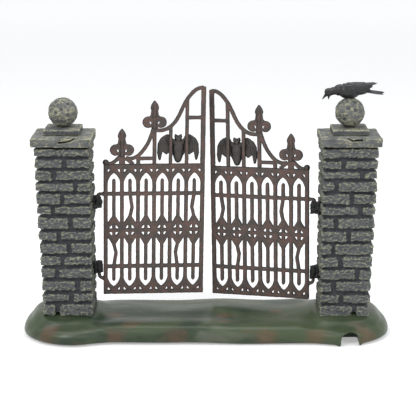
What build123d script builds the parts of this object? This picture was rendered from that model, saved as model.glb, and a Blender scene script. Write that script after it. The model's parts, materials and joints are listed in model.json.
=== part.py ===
from build123d import *
import math
import os

os.makedirs("parts", exist_ok=True)

# A miniature iron gate: two hinged leaves between stone pillars on a moulded base.
# Millimetres. X runs along the gate, Y away from the viewer, Z up from the underside.

# Gateway: from its middle to each hinge axis, and the gap that each leaf leaves at the middle
hinge_x = 65.0
meeting_gap = 1.3

# Base: a bullnosed slab with round ends and a low mound under each pillar
base_height = 12.0
base_end_margin = 28.6
base_depth = 57.0
base_left_end_radius = 32.6
base_right_end_radius = 31.0
base_neck_radius = 45.0
base_nose_radius = 8.6
base_foot_chamfer = 0.9
mound_width = 46.0
mound_height = 3.4
mound_corner = 15.0
mound_taper = 46.0

# Arched notch in the front edge, before the right pillar's foot, where a lead can pass
notch_offset = 2.2
notch_width = 10.6
notch_height = 8.2
notch_depth = 17.0

# Pillars: dry-laid courses that widen and lean slightly outwards towards the top
pillar_foot_offset = 18.0
pillar_head_offset = 19.3
pillar_foot_width = 30.6
pillar_head_width = 33.2
course_count = 14
course_share = 0.80
joint_depth = 1.1
course_chamfer = 1.0
pillar_height = 102.2

# Pillar caps: a slab, a step and a ball, set a little outside the pillar's head
cap_offset = 19.6
slab_width = 35.8
slab_edge_height = 5.0
slab_crown_height = 0.7
slab_chamfer = 0.6
step_width = 21.5
step_height = 3.5
step_chamfer = 0.6
ball_radius = 8.9
ball_bands = 8
ball_seat_depth = 0.3

# Hinges: lumps on the pillars' inner faces, pins on the leaves
hinge_low_z = 40.5
hinge_high_z = 80.9
block_height = 7.5
knuckle_radius = 2.4
block_root_depth = 7.6
block_root_reach = 2.2
pin_radius = 0.9
pin_clearance = 0.06
pin_depth = 4.7
pin_end_gap = 0.5
lower_arm_gap = 2.5
upper_arm_gap = 0.35
lower_bend_radius = 2.4
upper_bend_radius = 1.5

# Leaves: angle that each is swung back by, how far its free end droops, and its drop
left_swing = 6.5
right_swing = 15.0
droop = 1.0
right_drop = 3.4
leaf_thickness = 2.0

# Leaf lattice, heights above the underside of the base on the undropped leaf
bay_count = 6
hinge_stile_width = 2.45
free_stile_width = 2.6
hinge_stile_gap = 3.15
bar_width = 2.1
picket_width = 1.9
lattice_bottom = 23.4
bottom_rail_height = 2.1
thin_rail_height = 2.0
mid_rail_height = 1.9
top_rail_height = 2.9
lattice_top = 104.0
thin_rail_inset = 16.2
lancet_rise = 5.9
lancet_spring = 8.1
picket_end_gap = 6.2
spandrel_height = 2.9
spandrel_width = 2.0
flare_rise = 7.4
flare_foot = 3.1
flare_hole_rise = 3.3
bend_offset = 1.3
upper_bends = {1: 1, 5: -1}
lower_bends = {0: 1, 4: -1}

# Crest above the top rail, heights above the rail, places along it in bays
crest_bar = 1.9
short_bar_height = 1.8
outer_seat = 4.75
inner_seat = 21.5
short_bar_rise = 2.5
cross_bar_rise = 27.1
riser_top = 46.5
crest_top_curve = ((3, 20.8), (3.81, 21.6), (4.3, 26), (4.7, 33.6), (5.15, 41.2), (5.7, 45.6), (6, 46))
crest_low_curve = ((1.25, 3.8), (1.75, 3.8), (2.22, 7.3), (2.72, 15.5), (2.92, 21.4))
crest_start_curve = ((0.14, 0.5), (0.36, 0.6), (0.59, 2.0), (0.86, 4.4))
brace_top = (1.22, 3.6)
brace_foot = (1.68, 0.2)
knob_radius = 1.8
knob_rise = 1.1
knob_sides = 10

# Finials: a spear over two scrolls, heights above the seat
finial_thickness = 2.4
finial_stem = 1.7
scroll_radius = 3.35
scroll_x = 3.8
scroll_eye_radius = 0.85
scroll_eye_sides = 8
scroll_eye_x = 3.3
spear_base = (2.5, 7.2)
spear_neck = (1.95, 10.8)
spear_wide = (2.5, 12.3)
spear_tip = 16.8

# Bats: flat castings behind the crest's uprights, half outline about the body's middle
bat_bay = 4.48
bat_thickness = 1.6
bat_head = ((0, 16.9), (1, 16.9), (1.8, 17.9), (2.3, 16.2), (1.9, 14.6))
bat_thumb = ((3.2, 14.4), (3.9, 16.6), (6.2, 17.7))
bat_shoulder = (9.6, 15.9)
bat_elbow = (11.8, 12.8)
bat_wing_mid = (12.3, 7.5)
bat_wing = ((11.15, 1.7), (10.4, 2.2), (9.5, 7.2), (6.9, 5.3), (4.6, 7.4), (3.4, 5.4))
bat_tail = 1.3

# Crow on the right ball, its beak towards the gateway
crow_axis_rise = 3.9
crow_body = ((-11.4, 2.0), (-9.0, 3.1), (-6.0, 3.9), (-1.0, 4.5), (5.0, 3.7), (10.0, 2.1), (13.4, 0.7))
tail_root = (8.4, 4.3, 4.2, 2.6)
tail_end = (19.6, 3.1, 5.0, 1.2)
crow_head = (-12.4, 2.9)
crow_head_radius = 3.0
crow_head_bands = 6
beak_sides = 6
beak_root_radius = 1.25
beak_tip_radius = 0.15
beak_upper = ((-13.6, 2.1), (-16.2, -1.9))
beak_lower = ((-12.4, 1.2), (-12.7, -2.1))
wing_outline = ((-7.0, 5.4), (1.0, 8.2), (14.4, 8.5), (9.6, 6.0), (1.0, 2.0), (-6.0, 2.0))
wing_thickness = 1.3
wing_spread = 4.1
leg_sides = 6
leg_radius = 0.6
leg_spread = 1.9
leg_x = -0.6
leg_length = 2.0

pillar_foot_x = hinge_x + pillar_foot_offset
pillar_head_x = hinge_x + pillar_head_offset
cap_x = hinge_x + cap_offset
notch_x = pillar_foot_x + notch_offset
base_length = 2 * (pillar_foot_x + base_end_margin)
left_end_x = base_length / 2 - base_left_end_radius
right_end_x = base_length / 2 - base_right_end_radius
base_top = base_height + mound_height
shaft_top = base_top + pillar_height
slab_top = shaft_top + slab_edge_height + slab_crown_height
crown_run = (slab_width - step_width) / 2
step_top = slab_top + step_height
ball_z = step_top + ball_radius - ball_seat_depth
hinge_mid_z = (hinge_low_z + hinge_high_z) / 2
leaf_width = hinge_x - meeting_gap - hinge_stile_gap
first_bar = hinge_stile_gap + hinge_stile_width / 2
bay = (leaf_width - hinge_stile_width / 2 - free_stile_width / 2) / bay_count
lattice_mid = (lattice_bottom + bottom_rail_height + lattice_top - top_rail_height) / 2


def along(bays):
    """Distance from the hinge axis to a place counted in bays."""
    return first_bar + bays * bay


def crest_point(point):
    """A crest point, from bays and a height above the top rail."""
    return (along(point[0]), lattice_top + point[1])


def leaf_plane(side, swing, drop, tilt):
    """Upright plane of a leaf: x from the hinge axis to the free end, y up."""
    turn = math.radians(swing)
    lean = math.radians(tilt)
    x_dir = Vector(-side * math.cos(turn) * math.cos(lean), math.sin(turn) * math.cos(lean), -math.sin(lean))
    z_dir = Vector(math.sin(turn), side * math.cos(turn), 0)
    up = z_dir.cross(x_dir)
    pivot = Vector(side * hinge_x, 0, hinge_mid_z - drop)
    return Plane(origin=pivot - up * hinge_mid_z, x_dir=x_dir, z_dir=z_dir)


# Base
with BuildPart() as base:
    with BuildSketch() as plan:
        Rectangle(base_length - 2 * base_left_end_radius, base_depth)
        with Locations((-left_end_x, 0)):
            Circle(base_left_end_radius)
        with Locations((right_end_x, 0)):
            Circle(base_right_end_radius)
        necks = plan.vertices().filter_by(lambda corner: abs(corner.X) < left_end_x)
        fillet(necks, base_neck_radius)
    extrude(amount=base_height)
    fillet(base.faces().sort_by(Axis.Z)[-1].edges(), base_nose_radius)
    chamfer(base.faces().sort_by(Axis.Z)[0].edges(), base_foot_chamfer)
    with BuildSketch(Plane.XY.offset(base_height)):
        with Locations((-pillar_foot_x, 0), (pillar_foot_x, 0)):
            RectangleRounded(mound_width, mound_width, mound_corner)
    extrude(amount=mound_height, taper=mound_taper)
    with BuildSketch(Plane.XZ.offset(base_right_end_radius)):
        with Locations((notch_x, notch_height / 2 - notch_width / 4)):
            Rectangle(notch_width, notch_height - notch_width / 2)
        with Locations((notch_x, notch_height - notch_width / 2)):
            Circle(notch_width / 2)
    extrude(amount=-notch_depth, mode=Mode.SUBTRACT)
base.part.label = "base"
export_step(base.part, "parts/base.step")

# Pillars, caps and hinge blocks, one set each side
course_pitch = pillar_height / course_count
course_height = course_pitch * course_share
for side, name in ((-1, "left"), (1, "right")):
    with BuildPart() as shaft:
        with BuildSketch(Plane.XY.offset(base_top)):
            with Locations((side * pillar_foot_x, 0)):
                Rectangle(pillar_foot_width - 2 * joint_depth, pillar_foot_width - 2 * joint_depth)
        with BuildSketch(Plane.XY.offset(shaft_top)):
            with Locations((side * pillar_head_x, 0)):
                Rectangle(pillar_head_width - 2 * joint_depth, pillar_head_width - 2 * joint_depth)
        loft(ruled=True)
        for course in range(course_count):
            share = course / (course_count - 1)
            width = pillar_foot_width + share * (pillar_head_width - pillar_foot_width)
            course_x = pillar_foot_x + share * (pillar_head_x - pillar_foot_x)
            with BuildSketch(Plane.XY.offset(base_top + course * course_pitch)) as course_plan:
                with Locations((side * course_x, 0)):
                    Rectangle(width, width)
                chamfer(course_plan.vertices(), course_chamfer)
            extrude(amount=course_height)
    shaft.part.label = f"{name}_pillar"
    export_step(shaft.part, f"parts/{name}_pillar.step")

    with BuildPart() as slab:
        with BuildSketch(Plane.XY.offset(shaft_top)):
            with Locations((side * cap_x, 0)):
                Rectangle(slab_width, slab_width)
        extrude(amount=slab_edge_height + slab_crown_height)
        crown = slab.faces().sort_by(Axis.Z)[-1]
        chamfer(crown.edges(), crown_run, slab_crown_height, reference=crown)
        chamfer(slab.edges().filter_by(Axis.Z), slab_chamfer)
    slab.part.label = f"{name}_cap_slab"
    export_step(slab.part, f"parts/{name}_cap_slab.step")

    with BuildPart() as step:
        with BuildSketch(Plane.XY.offset(slab_top)):
            with Locations((side * cap_x, 0)):
                Rectangle(step_width, step_width)
        extrude(amount=step_height)
        chamfer(step.faces().sort_by(Axis.Z)[-1].edges(), step_chamfer)
    step.part.label = f"{name}_cap_step"
    export_step(step.part, f"parts/{name}_cap_step.step")

    with BuildPart() as ball:
        with BuildSketch(Plane.XZ):
            with Locations((side * cap_x, ball_z)):
                RegularPolygon(ball_radius, 2 * ball_bands)
            with Locations((side * cap_x - ball_radius, ball_z)):
                Rectangle(2 * ball_radius, 2 * ball_radius, mode=Mode.SUBTRACT)
        revolve(axis=Axis((side * cap_x, 0, ball_z), (0, 0, 1)))
        split(bisect_by=Plane.XY.offset(step_top), keep=Keep.TOP)
    ball.part.label = f"{name}_ball"
    export_step(ball.part, f"parts/{name}_ball.step")

    drop = right_drop if side > 0 else 0
    for level, centre_z, mouth in (("lower", hinge_low_z, -1), ("upper", hinge_high_z, 1)):
        bottom_z = centre_z - drop - block_height / 2
        mouth_z = centre_z - drop + mouth * block_height / 2
        with BuildPart() as block:
            with BuildSketch(Plane.XY.offset(bottom_z)):
                with Locations((side * hinge_x, 0)):
                    Circle(knuckle_radius)
                with Locations((side * (hinge_x + block_root_reach), 0)):
                    Rectangle(2 * block_root_reach, 2 * knuckle_radius)
                with Locations((side * (hinge_x + 2 * block_root_reach), 0)):
                    Rectangle(2 * block_root_reach, block_root_depth)
            extrude(amount=block_height)
            with BuildSketch(Plane.XY.offset(mouth_z)):
                with Locations((side * hinge_x, 0)):
                    Circle(pin_radius + pin_clearance)
            extrude(amount=-mouth * (pin_depth + pin_end_gap), mode=Mode.SUBTRACT)
            add(shaft.part, mode=Mode.SUBTRACT)
        block.part.label = f"{name}_hinge_block_{level}"
        export_step(block.part, f"parts/{name}_hinge_block_{level}.step")
    right_ball = ball

# Crow: a round body with a tail, head, open beak, two wings and two legs that end on the ball
perch_z = ball_z + ball_radius
with BuildPart() as crow:
    body_z = perch_z + crow_axis_rise
    with BuildSketch(Plane.XZ):
        with BuildLine():
            side_line = [(cap_x + x, body_z + radius) for x, radius in crow_body]
            rump = (cap_x + crow_body[-1][0], body_z)
            nose = (cap_x + crow_body[0][0], body_z)
            Polyline(*side_line, rump, nose, close=True)
        make_face()
    revolve(axis=Axis((0, 0, body_z), (1, 0, 0)))
    for x, rise, width, thickness in (tail_root, tail_end):
        with BuildSketch(Plane.YZ.offset(cap_x + x)):
            with Locations((0, perch_z + rise)):
                Rectangle(width, thickness)
    loft(ruled=True)
    head_x = cap_x + crow_head[0]
    head_z = perch_z + crow_head[1]
    with BuildSketch(Plane.XZ):
        with Locations((head_x, head_z)):
            RegularPolygon(crow_head_radius, 2 * crow_head_bands)
        with Locations((head_x, head_z - crow_head_radius)):
            Rectangle(2 * crow_head_radius, 2 * crow_head_radius, mode=Mode.SUBTRACT)
    revolve(axis=Axis((head_x, 0, head_z), (1, 0, 0)))
    for root, tip in (beak_upper, beak_lower):
        start = Vector(cap_x + root[0], 0, perch_z + root[1])
        end = Vector(cap_x + tip[0], 0, perch_z + tip[1])
        beak_plane = Plane(origin=start, z_dir=end - start)
        with BuildSketch(beak_plane):
            RegularPolygon(beak_root_radius, beak_sides)
        with BuildSketch(beak_plane.offset((end - start).length)):
            RegularPolygon(beak_tip_radius, beak_sides)
        loft(ruled=True)
    for wing_side in (-1, 1):
        with BuildSketch(Plane.XZ.offset(wing_side * wing_spread)):
            with BuildLine():
                wing_points = [(cap_x + x, perch_z + z) for x, z in wing_outline]
                Spline(*wing_points[:3])
                Polyline(*wing_points[2:], wing_points[0])
            make_face()
        extrude(amount=wing_thickness / 2, both=True)
        with BuildSketch(Plane.XY.offset(perch_z - leg_spread)):
            with Locations((cap_x + leg_x, wing_side * leg_spread)):
                RegularPolygon(leg_radius, leg_sides)
        extrude(amount=leg_spread + leg_length)
    add(right_ball.part, mode=Mode.SUBTRACT)
crow.part.label = "crow"
export_step(crow.part, "parts/crow.step")

# Openings of one bay, drawn about the bay's middle and the lattice's middle height
clear_half = (bay - bar_width) / 2
thin_rail_top = lattice_top - top_rail_height - thin_rail_inset + thin_rail_height
field_top = thin_rail_top - thin_rail_height - lattice_mid
spring_y = lattice_top - top_rail_height - lancet_spring - lattice_mid
apex_y = spring_y + lancet_rise
haunch_x = clear_half * 0.66
haunch_y = spring_y + lancet_rise * 0.56
rail_under = lattice_top - top_rail_height - lattice_mid
band = mid_rail_height / 2
with BuildSketch() as bay_openings:
    with BuildLine():
        Line((-clear_half, thin_rail_top - lattice_mid), (clear_half, thin_rail_top - lattice_mid))
        Line((clear_half, thin_rail_top - lattice_mid), (clear_half, spring_y))
        ThreePointArc((clear_half, spring_y), (haunch_x, haunch_y), (0, apex_y))
        ThreePointArc((0, apex_y), (-haunch_x, haunch_y), (-clear_half, spring_y))
        Line((-clear_half, spring_y), (-clear_half, thin_rail_top - lattice_mid))
    make_face()
    with BuildLine():
        Polyline(
            (-clear_half, field_top),
            (-clear_half, band + flare_foot),
            (0, band + flare_rise + clear_half / 2),
            (clear_half, band + flare_foot),
            (clear_half, field_top),
            close=True,
        )
    make_face()
    with BuildLine():
        Polyline(
            (-clear_half + bar_width / 4, band),
            (0, band + flare_hole_rise + picket_width / 2),
            (clear_half - bar_width / 4, band),
            close=True,
        )
    make_face()
    for way in (-1, 1):
        with BuildLine():
            Polyline(
                (way * clear_half, rail_under),
                (way * clear_half, rail_under - spandrel_height),
                (way * (clear_half - spandrel_width), rail_under),
                close=True,
            )
        make_face()
    mirror(about=Plane.XZ)

# The two leaves
for side, name, swing, drop in ((-1, "left", left_swing, 0), (1, "right", right_swing, right_drop)):
    plane = leaf_plane(side, swing, drop, droop)
    upright = leaf_plane(side, swing, drop, 0)
    far = side

    with BuildPart() as grille:
        with BuildSketch(plane) as lattice:
            with Locations((hinge_stile_gap + leaf_width / 2, (lattice_bottom + lattice_top) / 2)):
                Rectangle(leaf_width, lattice_top - lattice_bottom)
            with Locations(*[(along(number + 0.5), lattice_mid) for number in range(bay_count)]):
                add(bay_openings.sketch, mode=Mode.SUBTRACT)
            for number in range(bay_count):
                for way, bends in ((1, upper_bends), (-1, lower_bends)):
                    foot_y = lattice_mid
                    end_y = lattice_mid + way * (rail_under - picket_end_gap)
                    rail_y = lattice_mid + way * (field_top + thin_rail_height / 2)
                    flare_y = lattice_mid + way * (band + flare_rise)
                    x = along(number + 0.5)
                    half = picket_width / 2
                    shoulder_y = end_y - way * half
                    kink = bend_offset * bends.get(number, 0)
                    knee_y = flare_y + (rail_y - flare_y) * 0.4
                    with BuildLine():
                        Polyline(
                            (x - half, foot_y),
                            (x - half, flare_y),
                            (x - half + kink, knee_y),
                            (x - half, rail_y),
                            (x - half, shoulder_y),
                            (x - half / 2, end_y),
                            (x + half / 2, end_y),
                            (x + half, shoulder_y),
                            (x + half, rail_y),
                            (x + half + kink, knee_y),
                            (x + half, flare_y),
                            (x + half, foot_y),
                            close=True,
                        )
                    make_face()
        extrude(amount=leaf_thickness / 2, both=True)
    grille.part.label = f"{name}_grille"
    export_step(grille.part, f"parts/{name}_grille.step")

    finials = []
    for place, seat, place_bay in (("outer", outer_seat, 1), ("inner", inner_seat, 3)):
        with BuildPart() as finial:
            with BuildSketch(plane):
                with Locations((along(place_bay), lattice_top + seat)):
                    with BuildSketch(mode=Mode.PRIVATE) as shape:
                        with BuildLine():
                            Polyline((0, 0), (finial_stem, 0), spear_base, spear_neck, spear_wide)
                            ThreePointArc(spear_wide, (spear_wide[0] * 0.62, 14.9), (0, spear_tip))
                            Line((0, spear_tip), (0, 0))
                        make_face()
                        with Locations((scroll_x, scroll_radius + 0.45)):
                            Circle(scroll_radius)
                        with Locations((scroll_eye_x, scroll_radius)):
                            RegularPolygon(scroll_eye_radius, scroll_eye_sides, mode=Mode.SUBTRACT)
                        mirror(about=Plane.YZ)
                    add(shape.sketch)
            extrude(amount=finial_thickness / 2, both=True)
        finial.part.label = f"{name}_{place}_finial"
        export_step(finial.part, f"parts/{name}_{place}_finial.step")
        finials.append(finial.part)

    with BuildPart() as crest:
        with BuildSketch(plane):
            for curve in (crest_top_curve, crest_low_curve, crest_start_curve):
                with BuildLine():
                    Spline(*[crest_point(point) for point in curve])
                trace(line_width=crest_bar)
            with BuildLine():
                Line(crest_point(brace_top), crest_point(brace_foot))
            trace(line_width=crest_bar)
            for bays, width, rise in (
                (1, 2 * finial_stem, outer_seat),
                (2, bar_width, short_bar_rise + short_bar_height),
                (3, bar_width, inner_seat),
                (4, crest_bar, 22.6),
                (5, crest_bar, 39.0),
            ):
                with Locations((along(bays), lattice_top + rise / 2)):
                    Rectangle(width, rise)
            free_edge = hinge_stile_gap + leaf_width
            with Locations((free_edge - free_stile_width / 2, lattice_top + riser_top / 2)):
                Rectangle(free_stile_width, riser_top)
            for start, end, rise, height in (
                (2, 3, short_bar_rise, short_bar_height),
                (5, 6, cross_bar_rise, crest_bar),
            ):
                with Locations((along((start + end) / 2), lattice_top + rise + height / 2)):
                    Rectangle((end - start) * bay, height)
            with Locations((along(bay_count / 2), lattice_top - crest_bar)):
                Rectangle(2 * leaf_width, 2 * crest_bar, mode=Mode.SUBTRACT)
        extrude(amount=leaf_thickness / 2, both=True)
        for finial_part in finials:
            add(finial_part, mode=Mode.SUBTRACT)
    crest.part.label = f"{name}_crest"
    export_step(crest.part, f"parts/{name}_crest.step")

    with BuildPart() as bat:
        with BuildSketch(plane.offset(far * leaf_thickness / 2)):
            with Locations((along(bat_bay), lattice_top)):
                with BuildSketch(mode=Mode.PRIVATE) as half_bat:
                    with BuildLine():
                        Polyline(*bat_head, *bat_thumb)
                        ThreePointArc(bat_thumb[-1], bat_shoulder, bat_elbow)
                        ThreePointArc(bat_elbow, bat_wing_mid, bat_wing[0])
                        Polyline(*bat_wing)
                        Line(bat_wing[-1], (bar_width / 2, bat_tail))
                        Line((bar_width / 2, bat_tail), (0, bat_tail))
                        Line((0, bat_tail), bat_head[0])
                    make_face()
                    mirror(about=Plane.YZ)
                add(half_bat.sketch)
        extrude(amount=far * bat_thickness)
    bat.part.label = f"{name}_bat"
    export_step(bat.part, f"parts/{name}_bat.step")

    with BuildPart() as knob:
        with BuildSketch(plane):
            with Locations((first_bar, lattice_top + knob_rise)):
                RegularPolygon(knob_radius, knob_sides)
            with Locations((first_bar, lattice_top - knob_radius)):
                Rectangle(4 * knob_radius, 2 * knob_radius, mode=Mode.SUBTRACT)
            with Locations((first_bar + knob_radius, lattice_top + knob_rise)):
                Rectangle(2 * knob_radius, 4 * knob_radius, mode=Mode.SUBTRACT)
        revolve(axis=Axis(plane.from_local_coords((first_bar, 0, 0)), plane.y_dir))
        add(crest.part, mode=Mode.SUBTRACT)
    knob.part.label = f"{name}_corner_knob"
    export_step(knob.part, f"parts/{name}_corner_knob.step")

    for level, centre_z, mouth, arm_gap, bend_radius in (
        ("lower", hinge_low_z, -1, lower_arm_gap, lower_bend_radius),
        ("upper", hinge_high_z, 1, upper_arm_gap, upper_bend_radius),
    ):
        mouth_y = centre_z + mouth * block_height / 2
        arm_y = mouth_y + mouth * (arm_gap + pin_radius)
        with BuildPart() as pin:
            with BuildLine(upright) as route:
                FilletPolyline(
                    (0, mouth_y - mouth * pin_depth),
                    (0, arm_y),
                    (first_bar, arm_y),
                    radius=bend_radius,
                )
            with BuildSketch(Plane(origin=route.line @ 0, z_dir=route.line % 0)):
                Circle(pin_radius)
            sweep()
            add(grille.part, mode=Mode.SUBTRACT)
        pin.part.label = f"{name}_hinge_pin_{level}"
        export_step(pin.part, f"parts/{name}_hinge_pin_{level}.step")
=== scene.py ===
# %% [markdown]
# # A miniature iron gate
#
# The real object stands on a shelf: two hinged iron leaves between rough stone pillars, on a
# glossy moulded base. The engineering model gives the sizes, the hinges and the plain solids.
# This lesson dresses it in Blender, one piece and one finish at a time.
#
# We start by loading that model as a fixed frame. Its nodes stay where they are, and every
# new piece is fitted to them in metres.

# %% Load the frame
import bpy
import json
import math
import random
import numpy as np
from mathutils import Matrix, Vector

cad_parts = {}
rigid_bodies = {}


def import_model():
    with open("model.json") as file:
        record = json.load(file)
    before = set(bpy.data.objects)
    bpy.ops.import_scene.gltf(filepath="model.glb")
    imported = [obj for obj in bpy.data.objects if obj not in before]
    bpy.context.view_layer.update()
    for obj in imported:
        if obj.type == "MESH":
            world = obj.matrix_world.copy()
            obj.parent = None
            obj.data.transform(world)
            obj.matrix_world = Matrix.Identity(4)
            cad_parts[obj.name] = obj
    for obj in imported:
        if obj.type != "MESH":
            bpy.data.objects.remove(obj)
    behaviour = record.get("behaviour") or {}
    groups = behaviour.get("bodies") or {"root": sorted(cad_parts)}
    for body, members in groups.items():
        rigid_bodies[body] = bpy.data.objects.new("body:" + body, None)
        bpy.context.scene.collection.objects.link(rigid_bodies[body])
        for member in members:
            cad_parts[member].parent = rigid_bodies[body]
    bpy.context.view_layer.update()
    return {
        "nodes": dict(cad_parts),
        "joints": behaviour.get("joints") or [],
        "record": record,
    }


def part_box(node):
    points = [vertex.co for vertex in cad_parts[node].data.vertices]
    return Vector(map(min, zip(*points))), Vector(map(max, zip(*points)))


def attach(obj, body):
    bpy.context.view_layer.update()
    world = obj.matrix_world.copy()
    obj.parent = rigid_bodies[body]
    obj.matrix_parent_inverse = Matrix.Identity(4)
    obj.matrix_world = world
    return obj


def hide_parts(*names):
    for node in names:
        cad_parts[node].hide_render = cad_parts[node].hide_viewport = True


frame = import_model()
MM = 0.001
posts, left_leaf, right_leaf = "posts", "left_leaf", "right_leaf"

# %% [markdown]
# ## The camera
#
# The photograph looks slightly down on the gate from far away, which keeps the pillars
# nearly parallel. A long lens from 0.8 m does the same. We place the camera on a line that
# is tilted by the pitch through a point between the leaves, and point it down that line.

# %% Camera
PITCH = math.radians(14)
AIM = Vector((1.0, 0, 77.2)) * MM
DISTANCE = 798 * MM
SENSOR = 36.0
FOCAL_PIXELS, IMAGE_PIXELS = 1330, 416

camera_data = bpy.data.cameras.new("camera")
camera_data.sensor_width = SENSOR
camera_data.lens = FOCAL_PIXELS / IMAGE_PIXELS * SENSOR
camera = bpy.data.objects.new("camera", camera_data)
bpy.context.scene.collection.objects.link(camera)
camera.location = AIM + DISTANCE * Vector((0, -math.cos(PITCH), math.sin(PITCH)))
camera.rotation_euler = (math.pi / 2 - PITCH, 0, 0)
bpy.context.scene.camera = camera
print("camera at", [round(value, 3) for value in camera.location])

# %% [markdown]
# ## The studio
#
# Product photographs like this are shot in a white tent: the object stands on a seamless
# white sweep under large soft boxes. A floor that is white to the camera and to reflections,
# but a plain grey card to the light, keeps the shadow without adding light of its own.

# %% What the camera and reflections see
def node_tree(material):
    """The node tree of a material or world, emptied."""
    material.use_nodes = True
    tree = material.node_tree
    tree.nodes.clear()
    return tree


def seen_directly(tree):
    """Camera, glossy and transmission rays in one mask."""
    path = tree.nodes.new("ShaderNodeLightPath")
    mask = path.outputs["Is Camera Ray"]
    for ray in ("Is Glossy Ray", "Is Transmission Ray"):
        either = tree.nodes.new("ShaderNodeMath")
        either.operation = "MAXIMUM"
        tree.links.new(mask, either.inputs[0])
        tree.links.new(path.outputs[ray], either.inputs[1])
        mask = either.outputs[0]
    return mask

# %% [markdown]
# ## The world
#
# The world stands for the white tent. It gives the object a weak, slightly cool light from all
# sides, but it looks plain white to the camera and in reflections, as the tent's walls do.

# %% World
SOFT_LIGHT, SOFT_COLOUR = 0.42, (0.90, 0.95, 1.0, 1)
WHITE = (1, 1, 1, 1)

world = bpy.data.worlds.new("studio")
bpy.context.scene.world = world
tree = node_tree(world)
mix = tree.nodes.new("ShaderNodeMixShader")
for socket, tint, strength in ((1, SOFT_COLOUR, SOFT_LIGHT), (2, WHITE, 1.0)):
    background = tree.nodes.new("ShaderNodeBackground")
    background.inputs["Color"].default_value = tint
    background.inputs["Strength"].default_value = strength
    tree.links.new(background.outputs[0], mix.inputs[socket])
tree.links.new(seen_directly(tree), mix.inputs["Fac"])
tree.links.new(mix.outputs[0], tree.nodes.new("ShaderNodeOutputWorld").inputs["Surface"])
print("world light", SOFT_LIGHT)

# %% [markdown]
# ## The floor
#
# The floor is one large plane. Under the lamps it is only pale grey, so a little emission, seen
# by the camera and by reflections alone, lifts it to white. The lift grows with the distance,
# where the lamps reach less, so near the gate the soft shadow still shows.

# %% Floor
FLOOR_COLOUR = (0.80, 0.80, 0.79, 1)
FLOOR_SIZE = 6
LIFT = {"From Min": 0.5, "From Max": 2.0, "To Min": 0.38, "To Max": 0.58}

bpy.ops.object.select_all(action="DESELECT")
bpy.ops.mesh.primitive_plane_add(size=FLOOR_SIZE, location=(0, 0, 0))
floor = bpy.context.active_object
floor.name = "floor"
floor_material = bpy.data.materials.new("white_sweep")
tree = node_tree(floor_material)
card = tree.nodes.new("ShaderNodeBsdfPrincipled")
card.inputs["Base Color"].default_value = FLOOR_COLOUR
card.inputs["Roughness"].default_value = 0.9
card.inputs["Emission Color"].default_value = WHITE
lift = tree.nodes.new("ShaderNodeMath")
lift.operation = "MULTIPLY"
away = tree.nodes.new("ShaderNodeVectorMath")
away.operation = "LENGTH"
fade = tree.nodes.new("ShaderNodeMapRange")
for key, value in LIFT.items():
    fade.inputs[key].default_value = value
tree.links.new(tree.nodes.new("ShaderNodeTexCoord").outputs["Object"], away.inputs[0])
tree.links.new(away.outputs["Value"], fade.inputs["Value"])
tree.links.new(seen_directly(tree), lift.inputs[0])
tree.links.new(fade.outputs[0], lift.inputs[1])
tree.links.new(lift.outputs[0], card.inputs["Emission Strength"])
tree.links.new(card.outputs[0], tree.nodes.new("ShaderNodeOutputMaterial").inputs["Surface"])
floor.data.materials.append(floor_material)
print("floor", FLOOR_SIZE, "m wide")

# %% [markdown]
# ## The lamps
#
# Two soft boxes stand in front, the left one stronger, so that the pillars' faces turn from
# light to shade. A third hangs above and picks out the tops of the caps and of the base.

# %% Lamps
FRONT_BOX, TOP_BOX = (0.5, 0.4), (0.9, 0.5)
MIDDLE = (0, 0, 0.06)


def soft_box(name, place, target, size, power):
    """An area lamp at place, in metres, that faces target."""
    data = bpy.data.lights.new(name, "AREA")
    data.shape = "RECTANGLE"
    data.size, data.size_y = size
    data.energy = power
    lamp = bpy.data.objects.new(name, data)
    bpy.context.scene.collection.objects.link(lamp)
    lamp.location = place
    lamp.rotation_euler = (Vector(target) - Vector(place)).to_track_quat("-Z", "Y").to_euler()


soft_box("key", (-0.55, -0.75, 0.95), MIDDLE, FRONT_BOX, 6.5)
soft_box("fill", (0.75, -0.65, 0.70), MIDDLE, FRONT_BOX, 3.5)
soft_box("top", (0.0, 0.15, 1.1), (0, 0, 0.05), TOP_BOX, 5.0)
bpy.context.scene.view_settings.view_transform = "Standard"
print("lamps:", len(bpy.data.lights))

# %% [markdown]
# ## Small tools for modelling
#
# Operators act on whatever is selected, so each tool first selects one object alone. A finished
# piece keeps its place in its mesh and its object at the origin, so that patterns on object
# coordinates line up with the rest.

# %% Helpers
def only(obj):
    """Selects obj alone, makes it active and returns it."""
    bpy.ops.object.select_all(action="DESELECT")
    obj.select_set(True)
    bpy.context.view_layer.objects.active = obj
    return obj


def settle(obj, name):
    """Puts the object's place, turn and size into its mesh and names it."""
    only(obj)
    bpy.ops.object.transform_apply(location=True, rotation=True, scale=True)
    obj.name = name
    return obj


def modify(obj, kind, **values):
    """Adds a modifier, sets its values and applies it."""
    only(obj)
    modifier = obj.modifiers.new(kind.lower(), kind)
    for key, value in values.items():
        setattr(modifier, key, value)
    bpy.ops.object.modifier_apply(modifier=modifier.name)
    return obj


def join(objects, name):
    """Joins objects into the first one and names it."""
    bpy.ops.object.select_all(action="DESELECT")
    for obj in objects:
        obj.select_set(True)
    bpy.context.view_layer.objects.active = objects[0]
    if len(objects) > 1:
        bpy.ops.object.join()
    joined = bpy.context.active_object
    joined.name = name
    return joined


def copy_node(node, name):
    """A welded copy of an engineering solid, to be shaped further."""
    source = frame["nodes"][node]
    piece = bpy.data.objects.new(name, source.data.copy())
    bpy.context.scene.collection.objects.link(piece)
    piece.data.materials.clear()
    only(piece)
    bpy.ops.object.mode_set(mode="EDIT")
    bpy.ops.mesh.select_all(action="SELECT")
    bpy.ops.mesh.remove_doubles(threshold=0.000002)
    bpy.ops.object.mode_set(mode="OBJECT")
    return piece


print("modelling helpers ready")

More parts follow.
